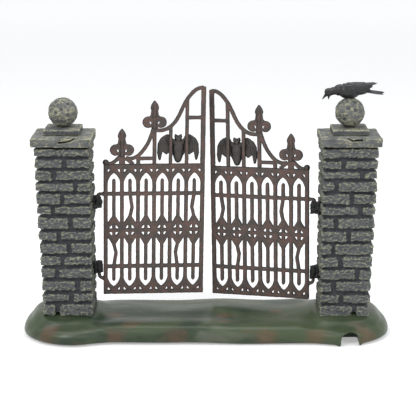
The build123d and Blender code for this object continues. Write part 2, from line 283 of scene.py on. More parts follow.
# %% [markdown]
# ## Starting shapes
#
# Most pieces start from a box, a tapered bar or a stretched ball. They are only starts: several
# are joined, fused by a voxel remesh, smoothed and roughened, until they read as one casting.

# %% Starting shapes
def block(size, place, turn=0.0):
    """A box of a size, in millimetres, turned about the upright axis."""
    bpy.ops.object.select_all(action="DESELECT")
    bpy.ops.mesh.primitive_cube_add(size=MM, location=[value * MM for value in place],
                                    rotation=(0, 0, turn))
    obj = bpy.context.active_object
    obj.scale = size
    bpy.ops.object.transform_apply(location=True, rotation=True, scale=True)
    return obj


def rod(start, end, thick, thin, sides=14):
    """A tapered round bar from start to end, in the units of its own frame."""
    start, end = Vector(start), Vector(end)
    bpy.ops.object.select_all(action="DESELECT")
    run = end - start
    bpy.ops.mesh.primitive_cone_add(vertices=sides, radius1=thick, radius2=thin, depth=run.length,
                                    location=(start + end) / 2,
                                    rotation=run.to_track_quat("Z", "Y").to_euler())
    return settle(bpy.context.active_object, "rod")


def egg(place, radii, turn=(0, 0, 0)):
    """A stretched ball, in the units of its own frame."""
    bpy.ops.object.select_all(action="DESELECT")
    bpy.ops.mesh.primitive_uv_sphere_add(segments=24, ring_count=14, location=place, rotation=turn)
    made = bpy.context.active_object
    made.scale = radii
    return settle(made, "egg")


def put(obj, matrix, name):
    """Moves a piece modelled in its own frame to its place, in its mesh."""
    obj.matrix_world = matrix
    return settle(obj, name)


def dress(piece, body, slot, *nodes):
    """The piece rides on a body and stands for its solids, which are hidden; slot is not used."""
    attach(piece, body)
    if nodes:
        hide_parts(*nodes)
    return piece


def triangles(obj):
    obj.data.calc_loop_triangles()
    return len(obj.data.loop_triangles)


print("starting shapes ready")

# %% [markdown]
# ## Roughness
#
# A displace modifier moves the surface along its normals by a texture. The texture is stretched
# by reading it from an empty that is scaled, so that bedding runs along the stone.

# %% Roughening
def texture(name, kind, size, **values):
    """A procedural texture whose features are size millimetres wide."""
    pattern = bpy.data.textures.new(name, kind)
    pattern.noise_scale = size * MM
    for key, value in values.items():
        setattr(pattern, key, value)
    return pattern


def roughen(obj, pattern, depth, stretch=(1, 1, 1), shift=(0, 0, 0), middle=0.5):
    """Displaces obj along its normals by depth, in millimetres, times the pattern."""
    guide = bpy.data.objects.new("guide", None)
    bpy.context.scene.collection.objects.link(guide)
    guide.scale = stretch
    guide.location = [value * MM for value in shift]
    bpy.context.view_layer.update()
    modify(obj, "DISPLACE", texture=pattern, texture_coords="OBJECT", texture_coords_object=guide,
           strength=depth * MM, mid_level=middle)
    bpy.data.objects.remove(guide)


def smooth_shading(obj):
    only(obj)
    bpy.ops.object.shade_smooth()


print("roughening ready")

# %% [markdown]
# ## A painter's mask
#
# Miniatures are dry brushed: a pale paint catches only what stands proud. We measure that on the finished
# mesh. Each point is compared with the average of its neighbours, and how far it stands above them becomes
# an attribute that the paint reads. On flat ironwork the attribute holds how squarely a point faces the
# front instead, and the sides that turn away get a darker colour as painted shade.

# %% Masks on the points
def read_points(mesh, key="co"):
    """The places or normals of all points, one row each."""
    values = np.empty(len(mesh.vertices) * 3)
    mesh.vertices.foreach_get(key, values)
    return values.reshape(-1, 3)


def read_mask(mesh):
    values = np.empty(len(mesh.vertices), np.float32)
    mesh.attributes["raised"].data.foreach_get("value", values)
    return values


def write_mask(mesh, values):
    mask = mesh.attributes.get("raised") or mesh.attributes.new("raised", "FLOAT", "POINT")
    mask.data.foreach_set("value", np.clip(values, 0, 1).astype(np.float32))


def mark_raised(obj, reach, full_height):
    """Writes how far each point stands above its smoothed self, 0 to 1 around 0.5."""
    mesh = obj.data
    count = len(mesh.vertices)
    places = read_points(mesh)
    ends = np.empty(len(mesh.edges) * 2, int)
    mesh.edges.foreach_get("vertices", ends)
    ends = ends.reshape(-1, 2)
    links = np.bincount(ends.ravel(), minlength=count).reshape(-1, 1)
    links[links == 0] = 1
    smooth = places.copy()
    for _ in range(reach):
        total = np.zeros_like(smooth)
        for axis in range(3):
            total[:, axis] = np.bincount(ends[:, 0], smooth[ends[:, 1], axis], count)
            total[:, axis] += np.bincount(ends[:, 1], smooth[ends[:, 0], axis], count)
        smooth = 0.5 * smooth + 0.5 * total / links
    height = ((places - smooth) * read_points(mesh, "normal")).sum(1) / (full_height * MM)
    write_mask(mesh, height * 0.5 + 0.5)


def mark_front(obj, out):
    """Writes how squarely each point faces along out, or away from it: 0 at the sides, 1 in front."""
    write_mask(obj.data, abs(read_points(obj.data, "normal") @ np.array(out)))


print("mask helpers ready")

# %% [markdown]
# ## Moving points by a rule
#
# Some shapes are easier to say than to push: raise the deck, keep clear of the hinge, stay above
# the table. A rule takes the places of all points as three columns and gives back new ones.

# %% Moving points
def shape_points(obj, move):
    """Moves every point of obj by a function of its place, all in millimetres."""
    x, y, z = read_points(obj.data).T / MM
    places = np.stack(move(x, y, z), axis=1) * MM
    obj.data.vertices.foreach_set("co", places.ravel())
    obj.data.update()


def smooth_step(value, low, high):
    """0 below low, 1 above high, and a soft step between."""
    share = np.clip((value - low) / (high - low), 0, 1)
    return share * share * (3 - 2 * share)


print("point helpers ready")

# %% [markdown]
# ## The stone pillars
#
# Each pillar is cast to look like fourteen courses of split stone. One course is up to four
# rough blocks round a dark core: we add them as boxes of uneven size, bevel them, and let a
# voxel remesh fuse blocks and core into one skin. Two textures then roughen it: broad bedding
# first, and fine worm-like ridges on top. All lengths here are in millimetres.

# %% Measures of the pillars
COURSES = 14
FRONT_JOINTS = {
    # Shares of the width, from the second course down: the top one is a single stone.
    "left": (0.54, 0.34, 0.72, 0.48, 0.30, 0.61, 0.39, 0.57, 0.44, 0.32, 0.70, 0.57, 0.30),
    "right": (0.38, 0.71, 0.27, 0.55, 0.72, 0.28, 0.52, 0.24, 0.38, 0.71, 0.27, 0.42, 0.69),
}
# Heights of the bed joints above the foot.
COURSE_JOINTS = {
    "left": (6.7, 13.4, 21.4, 29.4, 36.7, 44.7, 52.0, 60.6, 67.3, 74.7, 81.4, 88.8, 95.5),
    "right": (5.5, 12.8, 20.8, 28.1, 36.1, 44.1, 52.0, 60.0, 66.7, 74.7, 82.0, 88.2, 94.3),
}
FOOT_SHARE = 30.6 / 33.2
JOINT_GAP, COURSE_GAP = 1.35, 1.7
# What a joint takes off a stone's length, and how far it moves the stone away.
JOINT_TRIM, JOINT_SHIFT = JOINT_GAP * 0.75, JOINT_GAP * 0.35
CORE_INSET, CORE_OVERLAP = 2.4, 1.02
FOOT_DEPTH = 2.6
EDGE_ROUND = 0.9
STONE_VOXEL = 0.49
GAP_NEAR, GAP_DEEP = 1.2, 2.4
# Ranges that are drawn from: a stone's size, height, level and turn, a course's height, and
# the places of the joints that don't show from the front.
PROUD, TALLER, HIGHER, TURNED = (-0.6, 0.0), (-0.5, 0.3), (-0.2, 0.2), (-0.012, 0.012)
COURSE_TALLER, BACK_JOINT, DEPTH_JOINT = (-0.25, 0.35), (0.3, 0.7), (0.35, 0.65)
bedding = texture("bedding", "CLOUDS", 5.0, noise_depth=2)
ridges = texture("ridges", "MUSGRAVE", 1.9, musgrave_type="RIDGED_MULTIFRACTAL", octaves=2.0)
print("courses:", COURSES)

# %% [markdown]
# ## The stones of one course
#
# A course is laid in two rows, front and back, and each row is one long stone or two. Where the
# front row has a joint, its place is a share of the width. No two stones are alike: each one is
# a little smaller, taller or turned than the next, within narrow ranges.

# %% One course
def course_stones(draw, middle, width, centre_z, height, front, sunk):
    """The two rows of one course, front and back, each split in two or whole."""
    back = draw.uniform(*BACK_JOINT)
    depth_joint = draw.uniform(*DEPTH_JOINT)
    laid = []
    for near, far, split in ((0.0, depth_joint, front), (depth_joint, 1.0, back)):
        for start, end in ((0.0, split), (split, 1.0)) if split else ((0.0, 1.0),):
            proud = draw.uniform(*PROUD)
            size_x = (end - start) * width - (JOINT_TRIM if split else 0) + proud
            size_y = (far - near) * width - JOINT_TRIM + proud
            at_x = middle + ((start + end) / 2 - 0.5) * width
            at_y = ((near + far) / 2 - 0.5) * width
            at_x += math.copysign(JOINT_SHIFT, at_x - middle) if split else 0
            at_y += math.copysign(JOINT_SHIFT, at_y)
            tall = height + draw.uniform(*TALLER)
            at_z = centre_z - sunk / 2 + draw.uniform(*HIGHER)
            size = (size_x, size_y, tall + sunk)
            laid.append(block(size, (at_x, at_y, at_z), draw.uniform(*TURNED)))
    return laid


print("course helper ready")

# %% [markdown]
# ## Building a pillar
#
# The courses are laid from the foot up, a little wider each time, because the pillar widens
# towards its cap. Blocks and core are then fused, roughened and masked. Deep in the joints the
# mask goes to zero, so that the paint leaves only dark wash there.

# %% Pillars
def sink_gaps(pillar, inner, away, foot, head, slim, full):
    """Darkens the raised mask where the skin lies deep behind the stones' faces."""
    x, y, z = read_points(pillar.data).T / MM
    width = slim + (z - foot) / (head - foot) * (full - slim)
    out = np.maximum(abs(x - inner - away * width / 2), abs(y))
    depth = np.clip((width / 2 - out - GAP_NEAR) / (GAP_DEEP - GAP_NEAR), 0, 1)
    mask = read_mask(pillar.data)
    write_mask(pillar.data, mask * (1 - depth))
    print("raised mask, tenths:", np.percentile(mask, range(10, 100, 20)).round(2))


def stones(side, seed):
    """The blocks and core of one pillar, fused into one rough skin."""
    draw = random.Random(seed)
    low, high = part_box(side + "_pillar")
    inner, away = (high.x / MM, -1) if side == "left" else (low.x / MM, 1)
    foot, head = low.z / MM, high.z / MM
    bounds = (0.0, *COURSE_JOINTS[side], head - foot)
    full = (high.x - low.x) / MM
    slim = full * FOOT_SHARE
    parts = []
    for course in range(COURSES):
        width = slim + course / (COURSES - 1) * (full - slim)
        middle = inner + away * width / 2
        pitch = bounds[course + 1] - bounds[course]
        centre_z = foot + (bounds[course] + bounds[course + 1]) / 2
        height = pitch - COURSE_GAP + draw.uniform(*COURSE_TALLER)
        row = COURSES - 1 - course
        front = FRONT_JOINTS[side][row - 1] if row else None
        core = width - 2 * CORE_INSET
        parts.append(block((core, core, pitch * CORE_OVERLAP), (middle, 0, centre_z)))
        parts += course_stones(draw, middle, width, centre_z, height, front, 0 if course else FOOT_DEPTH)
    for stone in parts:
        modify(stone, "BEVEL", width=EDGE_ROUND * MM, segments=2)
    pillar = join(parts, side + "_stones")
    modify(pillar, "REMESH", mode="VOXEL", voxel_size=STONE_VOXEL * MM)
    modify(pillar, "SMOOTH", factor=0.5, iterations=2)
    roughen(pillar, bedding, depth=1.3, stretch=(1.6, 1.6, 0.6), shift=(seed, 0, seed * 2), middle=0.62)
    roughen(pillar, ridges, depth=0.5, stretch=(1.5, 1.5, 0.8), shift=(0, seed, seed), middle=0.9)
    modify(pillar, "SMOOTH", factor=0.4, iterations=1)
    mark_raised(pillar, reach=7, full_height=0.4)
    sink_gaps(pillar, inner, away, foot, head, slim, full)
    smooth_shading(pillar)
    return pillar


pillars = {}
for side, seed in (("left", 11), ("right", 23)):
    pillars[side] = dress(stones(side, seed), posts, "pillar_stone", side + "_pillar")
    print(side, "pillar:", triangles(pillars[side]), "triangles")

# %% [markdown]
# ## Caps and balls
#
# The slab, step and ball on each pillar are weathered the same way, but a little smoother and
# paler. A crack runs over the front edge of each slab: thin boxes are cut out before the remesh,
# which wears their edges too. The balls are pitted: small balls scoop shallow bowls out of them.

# %% Weathering
CAP_VOXEL, SLAB_VOXEL = 0.4, 0.33
cap_bedding = texture("cap_bedding", "CLOUDS", 6.0, noise_depth=2)
cap_ridges = texture("cap_ridges", "MUSGRAVE", 1.7, musgrave_type="RIDGED_MULTIFRACTAL", octaves=2.0)


def carve(obj, cutter):
    """Cuts cutter out of obj and removes it."""
    modify(obj, "BOOLEAN", operation="DIFFERENCE", object=cutter, solver="EXACT")
    bpy.data.objects.remove(cutter)


def weather(obj, seed, broad, fine, voxel=CAP_VOXEL):
    """Fuses and roughens obj, broad and fine in millimetres, and marks what stands proud."""
    modify(obj, "REMESH", mode="VOXEL", voxel_size=voxel * MM)
    modify(obj, "SMOOTH", factor=0.5, iterations=2)
    roughen(obj, cap_bedding, broad, stretch=(1.4, 1.4, 0.9), shift=(seed, seed, 0), middle=0.62)
    roughen(obj, cap_ridges, fine, stretch=(1.2, 1.2, 0.8), shift=(0, seed, seed), middle=0.95)
    mark_raised(obj, reach=9, full_height=0.28)
    smooth_shading(obj)


def wash_and_shade_uprights(obj, keep):
    """Darkens the upright faces, as wash and painted shade: there the mask keeps only a share of its height.
    """
    upright = smooth_step(1 - abs(read_points(obj.data, "normal")[:, 2]), 0.55, 0.95)
    write_mask(obj.data, read_mask(obj.data) * (1 - upright * (1 - keep)))


print("weathering ready")

# %% [markdown]
# ## Pits in the balls
#
# A few pits have chosen places, given as directions from the middle of the ball, with the
# radius of the scoop. The rest are drawn at random, well apart from each other. Each scoop is a
# small ball that stands mostly outside, so that its bowl is shallow.

# %% Pits
PIT_COUNT, PIT_DEPTH, PIT_APART = 24, 0.9, 0.14
SMALL_PITS = (1.3, 2.4)
BALL_PITS = {
    "left": (((0.0, -1, 0.35), 1.8), ((-0.45, -1, 0.1), 2.2), ((0.5, -1, -0.1), 2.7)),
    "right": (((-0.22, -1, 0.48), 2.5), ((0.34, -1, 0.34), 2.8), ((0.3, -0.6, 0.95), 2.3),
              ((-0.3, -0.6, 1.0), 2.0), ((-0.55, -1, -0.45), 2.9)),
}


def pit(ball, node, seed, chosen):
    """Scoops shallow round pits out of a ball: the chosen ones, then more at random."""
    draw = random.Random(seed)
    low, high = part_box(node)
    radius = (high.x - low.x) / 2
    centre = Vector(((low.x + high.x) / 2, (low.y + high.y) / 2, high.z - radius))
    pits = [(Vector(way).normalized(), size) for way, size in chosen]
    while len(pits) < PIT_COUNT:
        way = Vector((draw.uniform(-1, 1), draw.uniform(-1, 1), draw.uniform(-0.6, 0.9))).normalized()
        size = draw.uniform(*SMALL_PITS)
        if all((way - other).length > PIT_APART * (size + wide) for other, wide in pits):
            pits.append((way, size))
    scoops = []
    for way, size in pits:
        bpy.ops.object.select_all(action="DESELECT")
        place = centre + way * (radius + (size - PIT_DEPTH) * MM)
        bpy.ops.mesh.primitive_ico_sphere_add(subdivisions=3, radius=size * MM, location=place)
        scoops.append(settle(bpy.context.active_object, "scoop"))
    for scoop in scoops:
        carve(ball, scoop)


print("pits on each ball:", PIT_COUNT)

# %% [markdown]
# ## Cracks in the slabs
#
# A crack is a line of short boxes, each turned along its own stretch, fused by a remesh into
# one cutter. It opens on the front face and runs back a few millimetres under the slope above.

# %% Cracks
CRACK_WIDTH, CRACK_DEPTH = 1.0, 3.8
CRACKS = {
    "left": ((0.47, 0.50), (0.56, 0.55), (0.65, 0.66), (0.70, 0.80), (0.78, 0.92)),
    "right": ((0.30, 1.12), (0.36, 1.00), (0.43, 0.86), (0.51, 0.68), (0.58, 0.74), (0.66, 0.76)),
}


def crack(node, points):
    """Thin boxes along points, given as shares of the front face, joined into one cutter."""
    low, high = (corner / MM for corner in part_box(node))
    places = [Vector((low.x + x * (high.x - low.x), low.y, low.z + z * (high.z - low.z))) for x, z in points]
    wedges = []
    for start, end in zip(places, places[1:]):
        run = end - start
        bpy.ops.object.select_all(action="DESELECT")
        bpy.ops.mesh.primitive_cube_add(size=MM, location=(start + end) / 2 * MM,
                                        rotation=(0, -math.atan2(run.z, run.x), 0))
        wedge = bpy.context.active_object
        wedge.scale = (run.length + CRACK_WIDTH, CRACK_DEPTH * 2, CRACK_WIDTH)
        wedges.append(settle(wedge, "wedge"))
    cutter = join(wedges, "crack")
    modify(cutter, "REMESH", mode="VOXEL", voxel_size=CRACK_WIDTH * 0.25 * MM)
    return cutter


print("cracks:", len(CRACKS))

# %% [markdown]
# ## The finished caps
#
# Now the same tools dress both caps. Every piece gets its own seed, so that no two of them show the same
# pattern, and the steps' upright faces are painted darker than the rest, as wash and painted shade.

# %% Caps
for side, seed in (("left", 3), ("right", 8)):
    node = side + "_cap_slab"
    slab = copy_node(node, side + "_slab")
    carve(slab, crack(node, CRACKS[side]))
    weather(slab, seed, broad=0.6, fine=0.12, voxel=SLAB_VOXEL)
    wash_and_shade_uprights(slab, keep=0.97)
    dress(slab, posts, "cap_stone", node)
    step = copy_node(side + "_cap_step", side + "_step")
    weather(step, seed + 20, broad=0.55, fine=0.12)
    # The step's upright faces get a darker colour, as wash and painted shade.
    wash_and_shade_uprights(step, keep=0.5)
    dress(step, posts, "cap_stone", side + "_cap_step")
    ball = copy_node(side + "_ball", side + "_stone_ball")
    pit(ball, side + "_ball", seed, BALL_PITS[side])
    weather(ball, seed + 40, broad=0.7, fine=0.15)
    dress(ball, posts, "cap_stone", side + "_ball")
    print(side, "cap:", triangles(slab), triangles(step), triangles(ball), "triangles")

# %% [markdown]
# ## The base
#
# The base is one smooth, slightly uneven casting. A remesh gives the solid an even skin, a
# long smoothing melts the mounds into it, and broad clouds leave it gently wavy. The arched
# notch at the front has crisp edges, so a vertex group keeps the smoothing away from it.

# %% Base
BASE_VOXEL = 0.9
DECK_RISE, MOUND_FALL = 1.9, 1.5
NOTCH_MARGIN = 3.0
OFF_NOTCH = "away_from_notch"
swell = texture("swell", "CLOUDS", 26.0, noise_depth=0)


def lie_of_the_land(x, y, z):
    """Raises the deck behind the threshold, with a wavy back edge, and sinks the mounds in front."""
    top = smooth_step(z, 6.0, 12.0)
    deck = 1 - smooth_step(abs(x), 58, 70)
    back = smooth_step(y, -14, 4)
    wave = 0.35 * np.sin(x / 9.0 + 0.6) + 0.25 * np.sin(x / 21.0)
    mound = smooth_step(abs(x), 56, 66)
    front = 1 - smooth_step(y, -15, -8)
    return x, y, z + top * (deck * back * (DECK_RISE + wave) - mound * front * MOUND_FALL)


def off_notch(obj):
    """Indices of the points that lie away from the notch."""
    low, high = np.array(frame["record"]["physics"]["openings"][1]["box_m"])
    places, margin = read_points(obj.data), NOTCH_MARGIN * MM
    beside = (places[:, 0] > low[0] - margin) & (places[:, 0] < high[0] + margin)
    near = beside & (places[:, 1] < high[1] + margin) & (places[:, 2] < high[2] + margin)
    return [int(index) for index in np.flatnonzero(~near)]


base = copy_node("base", "green_base")
modify(base, "REMESH", mode="VOXEL", voxel_size=BASE_VOXEL * MM)
base.vertex_groups.new(name=OFF_NOTCH).add(off_notch(base), 1.0, "REPLACE")
modify(base, "SMOOTH", factor=0.6, iterations=14, vertex_group=OFF_NOTCH)
shape_points(base, lie_of_the_land)
modify(base, "SMOOTH", factor=0.7, iterations=70, use_x=False, use_y=False, vertex_group=OFF_NOTCH)
roughen(base, swell, depth=1.2, stretch=(1.6, 0.7, 0.5), middle=0.8)
modify(base, "SMOOTH", factor=0.5, iterations=4, vertex_group=OFF_NOTCH)
shape_points(base, lambda x, y, z: (x, y, np.maximum(z, 0)))
smooth_shading(base)
dress(base, posts, "painted_base", "base")
print("base:", triangles(base), "triangles")

# %% [markdown]
# ## The hinge blocks
#
# The leaves hang on black lumps at the pillars, rough as clinker. A lump is a remeshed copy of
# the plain block, swollen and dented by clouds. Points that stand too far out from the hinge's
# axis are pulled back, so that the leaf still swings past.

# %% Hinge blocks
HINGE_X, HINGE_MIDDLE = 65.0, 60.7
PILLAR_SIDE = 66.5
SWING_ROOM = {"lower": 2.4, "upper": 3.0}
LUMP_RADIUS, LUMP_VOXEL = 2.95, 0.3
clinker = texture("clinker", "CLOUDS", 2.6, noise_depth=1)


def keep_clear(x, y, z):
    """Pulls points back inside the round space that the swinging leaf leaves free."""
    axis = np.sign(x) * HINGE_X
    away = np.hypot(x - axis, y)
    room = np.where(z < HINGE_MIDDLE, SWING_ROOM["lower"], SWING_ROOM["upper"])
    free = np.where(abs(x) < PILLAR_SIDE, np.minimum(1, room / np.maximum(away, 0.01)), 1)
    return axis + (x - axis) * free, y * free, z


for side in ("left", "right"):
    for level, shift in (("lower", 0), ("upper", 9)):
        node = side + "_hinge_block_" + level
        low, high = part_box(node)
        lump = copy_node(node, side + "_hinge_lump_" + level)
        swelling = egg((math.copysign(HINGE_X * MM, low.x), 0, (low.z + high.z) / 2),
                       (LUMP_RADIUS * MM, LUMP_RADIUS * MM, (high.z - low.z) * 0.53))
        lump = join([lump, swelling], lump.name)
        modify(lump, "REMESH", mode="VOXEL", voxel_size=LUMP_VOXEL * MM)
        modify(lump, "SMOOTH", factor=0.5, iterations=5)
        roughen(lump, clinker, depth=2.4, shift=(shift, shift, side == "left"), middle=0.6)
        modify(lump, "SMOOTH", factor=0.5, iterations=1)
        shape_points(lump, keep_clear)
        mark_raised(lump, reach=6, full_height=0.5)
        smooth_shading(lump)
        dress(lump, posts, "hinge_block", node)
print("four hinge lumps:", triangles(lump), "triangles each")

# %% [markdown]
# ## A frame on each leaf
#
# The leaves are swung back and droop a little. To place new pieces on them we want a sheet of
# paper on each leaf: u along it from the hinge, v up, and w out of it. A matrix turns those
# three numbers into a place in the scene.

# %% Leaf frames
# Degrees of swing and droop, then millimetres up or along the leaf.
LEAF_SWING = {"left": 6.5, "right": 15.0}
DROOP = 1.0
LATTICE_TOP = 104.0
HINGE_STILE = 4.375
BAY = 9.671


def leaf_frame(side):
    """The matrix from a leaf's own u, v and w, in millimetres, to the scene."""
    sign = -1 if side == "left" else 1
    turn, lean = math.radians(LEAF_SWING[side]), math.radians(DROOP)
    level = math.cos(lean)
    along = Vector((-sign * math.cos(turn) * level, math.sin(turn) * level, -math.sin(lean)))
    out = Vector((math.sin(turn), sign * math.cos(turn), 0))
    up = out.cross(along)
    joint = next(joint for joint in frame["joints"] if joint["name"] == side + "_leaf_hinge")
    origin = Vector(joint["pos_m"]) - up * HINGE_MIDDLE * MM
    return Matrix.Translation(origin) @ Matrix((along, up, out)).transposed().to_4x4() @ Matrix.Scale(MM, 4)


print("leaf frames:", [round(value, 4) for value in leaf_frame("left").translation])

# %% [markdown]
# ## The iron leaves
#
# The lattices are flat castings whose bars look nearly round. The solid has the outline already.
# A bevel would need clean faces, so we use a voxel remesh and a few rounds of smoothing, which wear all the
# edges down alike. The fronts get brown and the sides stay dark as painted shade, so each point also stores
# how squarely it faces the front.

# %% Lattice and crest
bodies = {"left": left_leaf, "right": right_leaf}
casting = texture("casting", "CLOUDS", 2.2, noise_depth=1)


def out_of_leaf(side):
    """The way that a leaf's front or back faces, as a unit vector."""
    return leaf_frame(side).col[2].xyz.normalized()


def cast(piece, side, voxel, rounds, keep=1.0):
    """Fuses and softens a piece as a casting, and marks its front."""
    modify(piece, "REMESH", mode="VOXEL", voxel_size=voxel * MM)
    modify(piece, "SMOOTH", factor=0.5, iterations=rounds)
    roughen(piece, casting, depth=0.22, shift=(1, 2, 3), middle=-0.1)
    if keep < 1:
        modify(piece, "DECIMATE", ratio=keep)
    smooth_shading(piece)
    # The front mask sets where the iron paint puts its painted shade: on the sides that turn away from the
    # front.
    mark_front(piece, out_of_leaf(side))
    return piece


# Voxel in millimetres, and the share of its faces that a piece keeps.
FLAT_CASTINGS = (("grille", 0.28, 0.36), ("crest", 0.27, 0.6))
for side in ("left", "right"):
    for part, voxel, keep in FLAT_CASTINGS:
        piece = copy_node(side + "_" + part, side + "_iron_" + part)
        dress(cast(piece, side, voxel, rounds=2, keep=keep), bodies[side], "iron", side + "_" + part)
        print(piece.name, triangles(piece), "triangles")

# %% [markdown]
# ## The finials
#
# A finial is a spear over two scrolls. The plain casting gives the outline. We thin it, lay a
# round rim on each scroll and a ridge on the spear, and cut a crescent beside the stem, where
# the scroll's end curls in. It is all drawn flat on the leaf's own sheet.

# %% Flat rounds
def ring(place, wide, thick):
    """A round rim that lies flat at place."""
    bpy.ops.object.select_all(action="DESELECT")
    bpy.ops.mesh.primitive_torus_add(location=(*place, 0), major_radius=wide, minor_radius=thick,
                                     major_segments=32, minor_segments=12)
    return settle(bpy.context.active_object, "ring")


def disc(place, radius, depth):
    """A flat round plate at place."""
    bpy.ops.object.select_all(action="DESELECT")
    bpy.ops.mesh.primitive_cylinder_add(vertices=24, radius=radius, depth=depth, location=(*place, 0))
    return settle(bpy.context.active_object, "disc")


print("rings and discs ready")

# %% [markdown]
# ## Putting a finial together
#
# In its own frame a finial stands on the origin, in millimetres. The thinned plate keeps the
# outline, the round parts give it body, and each crescent is a disc with a second disc taken
# out. Then it is moved to its bay on the leaf and softened as the lattice was.

# %% Finials
# The bay that each one stands over, and its seat above the lattice.
FINIALS = {"outer": (1, 4.75), "inner": (3, 21.5)}
FINIAL_THIN, FINIAL_VOXEL = 0.6, 0.26


def finial(side, part):
    """One finial, softened and in its place on the leaf."""
    bays, seat = FINIALS[part]
    place = leaf_frame(side) @ Matrix.Translation((HINGE_STILE + bays * BAY, LATTICE_TOP + seat, 0))
    plate = put(copy_node(side + "_" + part + "_finial", "plate"), place.inverted(), "plate")
    plate.scale = (1, 1, FINIAL_THIN)
    spear = egg((0, 12.6, 0), (1.6, 3.9, 1.35))
    stem = rod((0, -0.2, 0), (0, 7.6, 0), 1.5, 1.3)
    neck = rod((0, 7.4, 0), (0, 11.5, 0), 1.6, 1.3)
    parts = [settle(plate, "plate"), spear, stem, neck]
    for way in (-1, 1):
        parts += [ring((way * 3.8, 3.8), 2.5, 0.88), disc((way * 3.3, 3.35), 1.1, 1.4)]
        parts.append(rod((way * 0.9, 8.6, 0), (way * 2.9, 6.2, 0), 0.7, 0.95))
    piece = join(parts, "finial")
    modify(piece, "REMESH", mode="VOXEL", voxel_size=FINIAL_VOXEL)
    for way in (-1, 1):
        crescent = disc((way * 2.85, 3.25), 1.05, 8)
        carve(crescent, disc((way * 3.7, 3.0), 0.95, 10))
        carve(piece, crescent)
    return cast(put(piece, place, side + "_iron_" + part + "_finial"), side, voxel=0.25, rounds=2)


for side in ("left", "right"):
    for part in FINIALS:
        piece = dress(finial(side, part), bodies[side], "iron", side + "_" + part + "_finial")
    print(piece.name, triangles(piece), "triangles")

# %% [markdown]
# ## The bats
#
# Each bat is a small casting: a plump body and head, thin wings, and a rib along the arm and
# down each finger. The plain solid gives the outline. We lay it flat, thin it, add the plump
# parts and the ribs, and fuse everything with a remesh.

# %% Bats
BAT_BAY, BAT_DEPTH, WING_THIN = 4.48, 1.8, 0.45
# Middle and radii of each plump part: belly, rump, tail, head, ears and shoulders.
BAT_EGGS = (
    ((0, 9.6, 0), (3.5, 4.9, 1.7)),
    ((0, 5.6, 0), (2.9, 4.6, 1.6)),
    ((0, 2.4, 0), (2.0, 2.0, 1.3)),
    ((0, 14.6, 0.2), (1.8, 1.9, 1.4)),
    ((-1.2, 16.2, 0.2), (1.0, 1.25, 1.1)),
    ((1.2, 16.2, 0.2), (1.0, 1.25, 1.1)),
    ((-3.0, 13.0, 0.3), (1.0, 1.0, 1.0)),
    ((3.0, 13.0, 0.3), (1.0, 1.0, 1.0)),
)
# Start and end of each rib on one wing: the arm and its edge, then two fingers.
BAT_RIBS = (
    ((2.2, 13.2), (6.4, 16.9)), ((6.4, 16.9), (9.6, 15.1)), ((9.6, 15.1), (11.4, 12.0)),
    ((11.4, 12.0), (11.8, 7.0)), ((11.8, 7.0), (11.1, 2.6)),
    ((9.4, 14.8), (9.0, 8.0)), ((8.6, 15.2), (4.6, 8.0)),
)
RIB_ROOT, RIB_TIP = 0.85, 0.7
for side in ("left", "right"):
    sign = -1 if side == "left" else 1
    seat = (HINGE_STILE + BAT_BAY * BAY, LATTICE_TOP, sign * BAT_DEPTH)
    place = leaf_frame(side) @ Matrix.Translation(seat)
    wings = put(copy_node(side + "_bat", "wings"), place.inverted(), "wings")
    wings.scale = (1, 1, WING_THIN)
    parts = [settle(wings, "wings")]
    for centre, radii in BAT_EGGS:
        parts.append(egg((centre[0], centre[1], -sign * centre[2]), radii))
    for (x0, y0), (x1, y1) in BAT_RIBS:
        for mirror in (-1, 1):
            parts.append(rod((mirror * x0, y0, 0), (mirror * x1, y1, 0), RIB_ROOT, RIB_TIP))
    bat = put(join(parts, "bat"), place, side + "_iron_bat")
    cast(bat, side, voxel=0.25, rounds=2)
    dress(bat, bodies[side], "bat", side + "_bat")
    print(bat.name, triangles(bat), "triangles")

# %% [markdown]
# ## Hinge arms and corner knobs
#
# Round rods run from the stile into the hinge blocks, and spread like a root where they meet
# the stile. The rods are copies of the plain pins with two short cones added, fused by a remesh.

# %% Arms and knobs
BLOCK_HALF = 3.75
# Middle of the block, the way the arm leaves it, and how far past it the arm turns.
ARM_LEVELS = {"lower": (40.5, -1, 3.4), "upper": (80.9, 1, 1.25)}
for side in ("left", "right"):
    place = leaf_frame(side)
    for level, (middle, way, drop) in ARM_LEVELS.items():
        node = side + "_hinge_pin_" + level
        height = middle + way * (BLOCK_HALF + drop)
        pin = put(copy_node(node, "pin"), place.inverted(), "pin")
        roots = [rod((1.7, height, 0), (3.9, height + spread, 0), 0.6, 0.9) for spread in (-0.9, 0.9)]
        arm = put(join([pin] + roots, "arm"), place, side + "_hinge_arm_" + level)
        dress(cast(arm, side, voxel=0.17, rounds=3), bodies[side], "iron", node)
    knob = copy_node(side + "_corner_knob", side + "_round_knob")
    dress(cast(knob, side, voxel=0.2, rounds=3), bodies[side], "iron", side + "_corner_knob")
print("arms and knobs:", triangles(arm), triangles(knob), "triangles each")

# %% [markdown]
# ## The crow
#
# A crow leans forward on the right ball and caws. Its plump parts are stretched balls, its beak
# and thighs tapered bars, all fused by a remesh and then ruffled a little by small clouds. It is
# modelled in millimetres from the top of the ball.

# %% Crow body
crow_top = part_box("crow")[1].z
ball_low, ball_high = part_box("right_ball")
perch = Matrix.Translation(((ball_low.x + ball_high.x) / 2, 0, ball_high.z)) @ Matrix.Scale(MM, 4)
CROW_VOXEL, RUFFLE_SIZE, RUFFLE_DEPTH = 0.28, 1.3, 0.35
